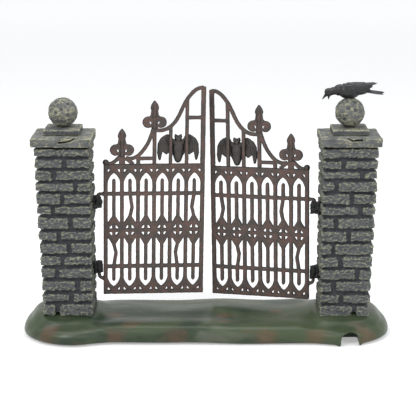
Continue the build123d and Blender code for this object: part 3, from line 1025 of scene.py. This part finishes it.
# Middle, radii and tilt of each part: belly, rump, breast, neck and head.
CROW_EGGS = (
    ((-1.2, 0, 3.8), (7.0, 4.2, 4.7), 0.10),
    ((4.8, 0, 4.2), (7.0, 3.3, 2.9), -0.10),
    ((-6.4, 0, 4.6), (3.9, 3.3, 3.5), -0.5),
    ((-9.6, 0, 4.0), (3.4, 2.5, 2.5), -0.25),
    ((-12.6, 0, 3.2), (2.75, 2.35, 2.55), 0.5),
)
parts = [egg(centre, radii, (0, turn, 0)) for centre, radii, turn in CROW_EGGS]
parts += [
    rod((-13.3, 0, 2.9), (-16.5, 0, -1.4), 1.35, 0.22),
    rod((-12.4, 0, 1.6), (-12.9, 0, -1.5), 1.1, 0.2),
]
for spread in (-1.9, 1.9):
    parts.append(egg((1.0, spread, 1.2), (2.2, 1.3, 1.5)))
    parts.append(rod((0.6, spread, 1.0), (-0.2, spread * 0.9, -0.6), 0.75, 0.5))
crow = join(parts, "crow_body")
modify(crow, "REMESH", mode="VOXEL", voxel_size=CROW_VOXEL)
modify(crow, "SMOOTH", factor=0.5, iterations=4)
ruffle = bpy.data.textures.new("ruffle", "CLOUDS")
ruffle.noise_scale = RUFFLE_SIZE
modify(crow, "DISPLACE", texture=ruffle, texture_coords="LOCAL", strength=RUFFLE_DEPTH, mid_level=0.5)
print("crow body:", triangles(crow), "triangles")

# %% [markdown]
# ## One feather
#
# A feather is a thin tapered blade with a raised shaft and a pointed end that droops. A grid is
# shaped by its own coordinates, given a thickness and subdivided once. To lay it, we turn it so
# that it points one way and its upper face looks outwards.

# %% Feather
def feather(length, width, thick=0.4):
    """A flat blade along x from the origin, with a raised shaft and a pointed end."""
    bpy.ops.object.select_all(action="DESELECT")
    bpy.ops.mesh.primitive_grid_add(x_subdivisions=6, y_subdivisions=2, size=1)
    blade = bpy.context.active_object
    blade.scale = (length, width, 1)
    blade.location = (length / 2, 0, 0)
    settle(blade, "feather")
    for vertex in blade.data.vertices:
        share = vertex.co.x / length
        # Widest half way along and narrow at the tip, with the shaft above the edges.
        vertex.co.y *= 0.55 + 1.1 * share - 1.45 * share ** 3
        vertex.co.z = 0.16 * width * (1 - abs(vertex.co.y) / width * 2) - 0.04 * length * share ** 2
    modify(blade, "SOLIDIFY", thickness=thick, offset=0)
    modify(blade, "SUBSURF", levels=1, render_levels=1)
    return blade


def lay(blade, root, way, out):
    """Points a feather from root along way, with its upper face outwards."""
    way, out = Vector(way).normalized(), Vector(out).normalized()
    across = out.cross(way).normalized()
    turn = Matrix((way, across, way.cross(across))).transposed().to_4x4()
    return put(blade, Matrix.Translation(root) @ turn, "feather")


print("feather ready")

# %% [markdown]
# ## The plumage
#
# The tail is a narrow fan of long blades. Over the back the feathers lie in rows from the rump
# forward, as on the real bird, each row over the roots of the one behind. The rearmost rows are
# the folded wings, whose long tips stand free above the tail.

# %% Plumage
TAIL_LENGTH, TAIL_WIDTH, TAIL_THICK = 12.2, 2.3, 0.8
draw = random.Random(5)
feathers = []
for spread in (-3, -2, -1, 0, 1, 2, 3):
    blade = feather(TAIL_LENGTH - 0.35 * abs(spread), TAIL_WIDTH, TAIL_THICK)
    feathers.append(lay(blade, (8.0, spread * 0.4, 4.1 - 0.32 * abs(spread) + 0.5 * (spread % 2)),
                        (1, spread * 0.075, -0.10), (0.1, spread * 0.1, 1)))
# Place along the back, length, width, lift, reach from the middle, and degrees above the side.
FEATHER_ROWS = (
    (3.6, 9.0, 2.2, 0.08, 3.7, (16, 30)),
    (3.6, 11.6, 2.0, 0.10, 3.7, (44, 58)),
    (3.0, 9.4, 2.0, 0.02, 3.7, (70, 84)),
    (1.0, 8.0, 2.5, 0.03, 4.15, (-2, 18, 38, 58, 78)),
    (-2.0, 6.0, 2.7, 0.02, 3.95, (-16, 4, 26, 48, 70, 90)),
    (-4.4, 4.4, 2.4, 0.02, 3.45, (-22, 0, 24, 48, 66)),
)
for x, length, width, lift, reach, angles in FEATHER_ROWS:
    for degrees in angles:
        for side in (-1, 1):
            angle = math.radians(degrees + draw.uniform(-3, 3))
            out = Vector((0, side * math.cos(angle), math.sin(angle)))
            root = Vector((x + draw.uniform(-0.4, 0.4), 0, 4.2)) + out * (reach + 0.65 * math.sin(angle))
            way = Vector((1, -side * 0.10 * math.cos(angle), lift + 0.16 * (1 - math.sin(angle))))
            feathers.append(lay(feather(length * draw.uniform(0.92, 1.05), width), root, way, out))
plumage = join(feathers, "plumage")
print("feathers:", len(feathers), "with", triangles(plumage), "triangles")

# %% [markdown]
# ## The finished crow
#
# Small beads make the eyes, and tapered toes grip the ball. Everything is joined, set on its
# perch, and lowered by a hair, if need be, so that no feather stands above the height that the
# engineering model gives.

# %% Crow eyes and toes
eyes = [egg((-13.5, side * 1.95, 4.0), (0.5, 0.4, 0.5)) for side in (-1, 1)]
toes = []
for spread in (-1.7, 1.7):
    for end in ((-2.6, spread * 1.7), (-3.2, spread * 0.9), (-2.4, spread * 0.3), (1.9, spread)):
        toes.append(rod((-0.4, spread, 0.1), (end[0], end[1], -0.2 - 0.06 * end[0] ** 2), 0.5, 0.28, 8))
crow = put(join([crow, plumage] + eyes + toes, "crow_feathered"), perch, "crow_feathered")
foot, limit = ball_high.z / MM, crow_top / MM
crown = max(vertex.co.z for vertex in crow.data.vertices) / MM
fit = min(1, (limit - foot) / (crown - foot))
shape_points(crow, lambda x, y, z: (x, y, foot + (z - foot) * fit))
only(crow)
bpy.ops.object.shade_smooth_by_angle(angle=math.radians(50))
mark_raised(crow, reach=4, full_height=0.12)
dress(crow, posts, "crow", "crow")
print("crow:", triangles(crow), "triangles, height share kept", round(fit, 3))

# %% [markdown]
# ## Paints
#
# Every finish here is procedural: noise in object coordinates, in millimetres, drives colour,
# gloss and bump. A few helpers keep the node code short. Each adds one node, links the sockets
# that it is given, and returns the output that the next step needs.

# %% Node helpers
def add_node(tree, kind, inputs=None, **settings):
    """A node with its settings and inputs: a socket is linked, anything else is a value."""
    made = tree.nodes.new(kind)
    for key, value in settings.items():
        setattr(made, key, value)
    for key, value in (inputs or {}).items():
        if isinstance(value, bpy.types.NodeSocket):
            tree.links.new(value, made.inputs[key])
        else:
            made.inputs[key].default_value = value
    return made


def colour(tree, factor, first, second, blend="MIX"):
    """Mixes two colours by a factor; each may be a socket or a value."""
    made = tree.nodes.new("ShaderNodeMix")
    made.data_type = "RGBA"
    made.blend_type = blend
    for index, value in ((0, factor), (6, first), (7, second)):
        if isinstance(value, bpy.types.NodeSocket):
            tree.links.new(value, made.inputs[index])
        else:
            made.inputs[index].default_value = value
    return made.outputs[2]


def maths(tree, operation, first, second=0.0, clamp=False):
    """One sum of two numbers; each may be a socket or a value."""
    made = add_node(tree, "ShaderNodeMath", {0: first, 1: second}, operation=operation)
    made.use_clamp = clamp
    return made.outputs[0]


def ease(tree, value, low, high, start=0.0, end=1.0):
    """start below low, end above high, and a smooth step between."""
    made = add_node(tree, "ShaderNodeMapRange", {"Value": value, "From Min": low, "From Max": high,
                    "To Min": start, "To Max": end}, interpolation_type="SMOOTHSTEP")
    return made.outputs[0]


def millimetres(tree, scale=(1, 1, 1)):
    """Object coordinates in millimetres, squeezed by scale."""
    place = tree.nodes.new("ShaderNodeTexCoord").outputs["Object"]
    size = [1000 * value for value in scale]
    return add_node(tree, "ShaderNodeMapping", {"Vector": place, "Scale": size}).outputs[0]


def speckle(tree, vector, scale, detail=2.0, rough=0.5, distort=0.0):
    """Noise from 0 to 1; a smaller scale gives wider blots."""
    made = add_node(tree, "ShaderNodeTexNoise", {"Vector": vector, "Scale": scale, "Detail": detail,
                    "Roughness": rough, "Distortion": distort})
    return made.outputs["Fac"]


def group(name, inputs, outputs):
    """An empty node group with typed sockets, its tree, input node and output node."""
    made = bpy.data.node_groups.new(name, "ShaderNodeTree")
    for label, kind in inputs:
        made.interface.new_socket(label, in_out="INPUT", socket_type="NodeSocket" + kind)
    for label, kind in outputs:
        made.interface.new_socket(label, in_out="OUTPUT", socket_type="NodeSocket" + kind)
    return made, made.nodes.new("NodeGroupInput").outputs, made.nodes.new("NodeGroupOutput").inputs


print("node helpers ready")

# %% [markdown]
# ## Dry-brushed stone
#
# The stone is painted in three steps: its own grey, a dark wash that settles in the recesses,
# and a pale khaki brushed over what stands proud. All three follow the raised mask, broken up by
# noise: a fine grain, worm-like ridges where a noise crosses its middle value, and blots. One
# group does this for pillars and caps, with its own colours and amounts in each.

# %% Dry-brushed stone
stone_group, given, result = group(
    "dry_brushed_stone",
    (("Stone", "Color"), ("Wash", "Color"), ("Brush", "Color"), ("Raised", "Float"), ("Amount", "Float"),
     ("Mottle", "Float")),
    (("Color", "Color"), ("Height", "Float")),
)
tree = stone_group
bed = millimetres(tree, (0.7, 0.7, 1.3))
grain = speckle(tree, bed, 0.55, detail=4.0, rough=0.6, distort=0.8)
patch = speckle(tree, bed, 0.16)
worms = speckle(tree, bed, 0.34, detail=1.5, distort=1.2)
crossing = maths(tree, "SUBTRACT", worms, 0.5)
ridge = ease(tree, maths(tree, "ABSOLUTE", crossing), 0.0, 0.055, 1.0, 0.0)
blots = maths(tree, "SUBTRACT", speckle(tree, bed, 0.36, detail=4.0, rough=0.7, distort=0.3), 0.48)

tint = colour(tree, ease(tree, patch, 0.35, 0.65), given["Stone"], given["Wash"])
tint = colour(tree, 0.5, given["Stone"], tint)
tint = colour(tree, ease(tree, given["Raised"], 0.12, 0.42), given["Wash"], tint)

grainy = maths(tree, "MULTIPLY", maths(tree, "SUBTRACT", grain, 0.5), 0.5)
lifted = maths(tree, "ADD", given["Raised"], grainy)
lifted = maths(tree, "ADD", lifted, maths(tree, "MULTIPLY", ridge, 0.13))
lifted = maths(tree, "ADD", lifted, maths(tree, "MULTIPLY", blots, given["Mottle"]))
brush_and_painted_shade = maths(tree, "MULTIPLY", ease(tree, lifted, 0.53, 0.88), given["Amount"], True)
height = maths(tree, "ADD", maths(tree, "MULTIPLY", grain, 0.6), maths(tree, "MULTIPLY", ridge, 0.4))
tree.links.new(colour(tree, brush_and_painted_shade, tint, given["Brush"]), result["Color"])
tree.links.new(height, result["Height"])
print("stone group:", len(tree.nodes), "nodes")

# %% [markdown]
# ## Stone paint
#
# A material places the group, feeds it the mask, and adds what belongs to the surface itself:
# a dull gloss and a bump a third of a millimetre deep. The caps are paler and more mottled.

# %% Stone paint
STONE_BUMP, IRON_BUMP = 0.3, 0.12


def raised(tree):
    """The mask that was stored on the points."""
    return add_node(tree, "ShaderNodeAttribute", attribute_name="raised").outputs["Fac"]


def finish(tree, **inputs):
    """The shader itself, with its inputs, on the material's output."""
    inputs = {key.replace("_", " "): value for key, value in inputs.items()}
    skin = add_node(tree, "ShaderNodeBsdfPrincipled", inputs)
    tree.links.new(skin.outputs[0], tree.nodes.new("ShaderNodeOutputMaterial").inputs["Surface"])


def paint_with(name, effect_tree, mask, values, bump, distance):
    """A material that holds a group, its values and its bump: the material, tree, group, normal."""
    material = bpy.data.materials.new(name)
    tree = node_tree(material)
    effect = add_node(tree, "ShaderNodeGroup", node_tree=effect_tree)
    for label, value in values.items():
        effect.inputs[label].default_value = value
    tree.links.new(raised(tree), effect.inputs[mask])
    relief = add_node(tree, "ShaderNodeBump", {"Height": effect.outputs["Height"], "Strength": bump,
                      "Distance": distance * MM})
    return material, tree, effect.outputs, relief.outputs[0]


def stone_paint(name, stone, wash, brush, amount, mottle):
    """A dry-brushed stone finish in its own colours."""
    values = {"Stone": stone, "Wash": wash, "Brush": brush, "Amount": amount, "Mottle": mottle}
    material, tree, effect, normal = paint_with(name, stone_group, "Raised", values, 0.8, STONE_BUMP)
    finish(tree, Base_Color=effect["Color"], Roughness=0.72, Specular_IOR_Level=0.35, Normal=normal)
    return material


pillar_paint = stone_paint("pillar_stone_paint", (0.106, 0.113, 0.116, 1), (0.056, 0.060, 0.067, 1),
                           (0.34, 0.34, 0.235, 1), amount=0.85, mottle=0.35)
cap_paint = stone_paint("cap_stone_paint", (0.155, 0.162, 0.156, 1), (0.042, 0.046, 0.052, 1),
                        (0.42, 0.395, 0.26, 1), amount=0.95, mottle=1.25)
for side in ("left", "right"):
    pillars[side].data.materials.append(pillar_paint)
    for part in ("_slab", "_step", "_stone_ball"):
        bpy.data.objects[side + part].data.materials.append(cap_paint)
print("stone painted")

# %% [markdown]
# ## Rusty iron
#
# The castings are dark, with a brown and rusty blooms on their fronts, and their sides are left dark as
# painted shade. The mask holds how squarely a point faces the front, and pores break the edge between the
# two.

# %% Rusty iron
iron_group, given, result = group(
    "rusty_iron",
    (("Shade", "Color"), ("Iron", "Color"), ("Rust", "Color"), ("Spread", "Float"), ("Front", "Float"),
     ("Smooth", "Float"), ("Rough", "Float")),
    (("Color", "Color"), ("Roughness", "Float"), ("Height", "Float")),
)
tree = iron_group
space = millimetres(tree)
blotch = speckle(tree, space, 0.22, detail=3.0, rough=0.6)
pores = speckle(tree, space, 1.6, detail=3.0, rough=0.6)
bloom = maths(tree, "ADD", blotch, maths(tree, "MULTIPLY", pores, 0.35))
bloom = maths(tree, "MULTIPLY", ease(tree, bloom, 0.55, 0.82), given["Spread"], True)
brown = colour(tree, bloom, given["Iron"], given["Rust"])
# On the flat castings Front holds how squarely a point faces the front, and the Shade colour on the sides is
# painted shade; on a raised mask this mix is the dry brush.
brush_and_painted_shade = maths(tree, "ADD", given["Front"], maths(tree, "MULTIPLY", pores, 0.3))
brush_and_painted_shade = ease(tree, brush_and_painted_shade, 0.84, 1.22)
tree.links.new(colour(tree, brush_and_painted_shade, given["Shade"], brown), result["Color"])
tree.links.new(ease(tree, pores, 0.3, 0.7, given["Smooth"], given["Rough"]), result["Roughness"])
tree.links.new(pores, result["Height"])
print("iron group:", len(tree.nodes), "nodes")

# %% [markdown]
# ## Iron paint
#
# Four finishes share the iron group: the leaves' brown iron, the darker bats, the black lumps,
# and the crow, which has the same brushing in soft black and a little more gloss.

# %% Iron paint
def iron_paint(name, shade, iron, rust, spread, metal, bump, smooth=0.5, rough=0.72):
    """A painted iron finish: painted shade at the sides, iron and blooms of rust on the fronts."""
    values = {"Shade": shade, "Iron": iron, "Rust": rust, "Spread": spread, "Smooth": smooth, "Rough": rough}
    material, tree, effect, normal = paint_with(name, iron_group, "Front", values, bump, IRON_BUMP)
    finish(tree, Base_Color=effect["Color"], Metallic=metal, Roughness=effect["Roughness"], Normal=normal)
    return material


gate_iron = iron_paint("gate_iron", (0.016, 0.015, 0.014, 1), (0.075, 0.061, 0.054, 1),
                       (0.145, 0.085, 0.070, 1), spread=0.9, metal=0.1, bump=0.5)
bat_iron = iron_paint("bat_iron", (0.011, 0.011, 0.011, 1), (0.054, 0.048, 0.043, 1),
                      (0.088, 0.068, 0.058, 1), spread=0.8, metal=0.05, bump=0.5)
black_iron = iron_paint("black_iron", (0.006, 0.006, 0.007, 1), (0.020, 0.020, 0.021, 1),
                        (0.035, 0.034, 0.032, 1), spread=0.6, metal=0.1, bump=0.7)
crow_black = iron_paint("crow_black", (0.005, 0.005, 0.006, 1), (0.028, 0.029, 0.032, 1),
                        (0.056, 0.056, 0.062, 1), spread=0.6, metal=0.0, bump=0.4, smooth=0.30, rough=0.5)
IRON_FINISHES = {
    gate_iron: ("_iron_grille", "_iron_crest", "_iron_outer_finial", "_iron_inner_finial", "_round_knob",
                "_hinge_arm_lower", "_hinge_arm_upper"),
    bat_iron: ("_iron_bat",),
    black_iron: ("_hinge_lump_lower", "_hinge_lump_upper"),
}
for side in ("left", "right"):
    for material, parts in IRON_FINISHES.items():
        for part in parts:
            bpy.data.objects[side + part].data.materials.append(material)
crow.data.materials.append(crow_black)
print("iron painted")

# %% [markdown]
# ## The base's green paint
#
# The base is green with soft rust-red patches, under a satin varnish. Two greens drift into each
# other along the base, with pale streaks. Each patch is a round spot around a chosen place,
# stretched along the base, with an edge made ragged by noise.

# %% Rust patches
base_paint = bpy.data.materials.new("base_green")
tree = node_tree(base_paint)
# Place on the base and width of each patch, in millimetres.
RUST_PATCHES = ((-93, -26, 10), (-54, -29, 8), (-56, -8, 8), (-19, -29, 9), (12, -8, 7), (35, -28, 9),
                (42, -2, 6), (65, -28, 8), (95, -26, 9), (-70, 26, 8), (8, 30, 9), (70, 28, 9))
PATCH_DEPTH = 0.6

uneven = speckle(tree, millimetres(tree), 0.12, detail=3.0, rough=0.6)
ragged = maths(tree, "MULTIPLY", maths(tree, "SUBTRACT", uneven, 0.5), 1.6)
spots = 0.0
for x, y, wide in RUST_PATCHES:
    deep = PATCH_DEPTH * wide
    place = tree.nodes.new("ShaderNodeTexCoord").outputs["Object"]
    centred = add_node(tree, "ShaderNodeMapping", {"Vector": place, "Location": (-x / wide, -y / deep, 0),
                       "Scale": (1 / wide / MM, 1 / deep / MM, 0)}).outputs[0]
    away = add_node(tree, "ShaderNodeVectorMath", {0: centred}, operation="LENGTH").outputs["Value"]
    spot = ease(tree, maths(tree, "ADD", away, ragged), 0.2, 1.1, 1.0, 0.0)
    spots = maths(tree, "MAXIMUM", spots, spot)
print("rust patches:", len(RUST_PATCHES))

# %% [markdown]
# ## The greens
#
# Noise that is squeezed along the base makes long soft clouds and streaks. A thin varnish coat
# gives the highlights on the rounded ends, over a duller skin, and a broad bump makes them waver.

# %% Green base paint
DARK_GREEN, LIGHT_GREEN = (0.024, 0.041, 0.023, 1), (0.058, 0.081, 0.039, 1)
PALE_STREAK, RUST_RED = (0.12, 0.13, 0.10, 1), (0.17, 0.078, 0.044, 1)

flow = millimetres(tree, (0.5, 1.0, 1.0))
cloud = speckle(tree, flow, 0.045, detail=3.0, rough=0.55, distort=0.5)
streak = speckle(tree, millimetres(tree, (0.3, 1.0, 1.0)), 0.13, detail=3.0, distort=0.4)
rust = speckle(tree, millimetres(tree, (0.45, 1.0, 1.0)), 0.075, distort=0.3)
swells = speckle(tree, flow, 0.10, detail=1.0)

green = colour(tree, ease(tree, cloud, 0.38, 0.62), DARK_GREEN, LIGHT_GREEN)
green = colour(tree, ease(tree, streak, 0.5, 0.72, 0.0, 0.6), green, PALE_STREAK)
rusty = maths(tree, "MAXIMUM", maths(tree, "MULTIPLY", spots, 0.40), ease(tree, rust, 0.60, 0.76, 0.0, 0.36))
wave = add_node(tree, "ShaderNodeBump", {"Height": swells, "Strength": 0.35, "Distance": 1.2 * MM})
finish(tree, Base_Color=colour(tree, rusty, green, RUST_RED), Roughness=0.42, Specular_IOR_Level=0.22,
       Coat_Weight=0.28, Coat_Roughness=0.24, Normal=wave.outputs[0])
base.data.materials.append(base_paint)
print("base painted")
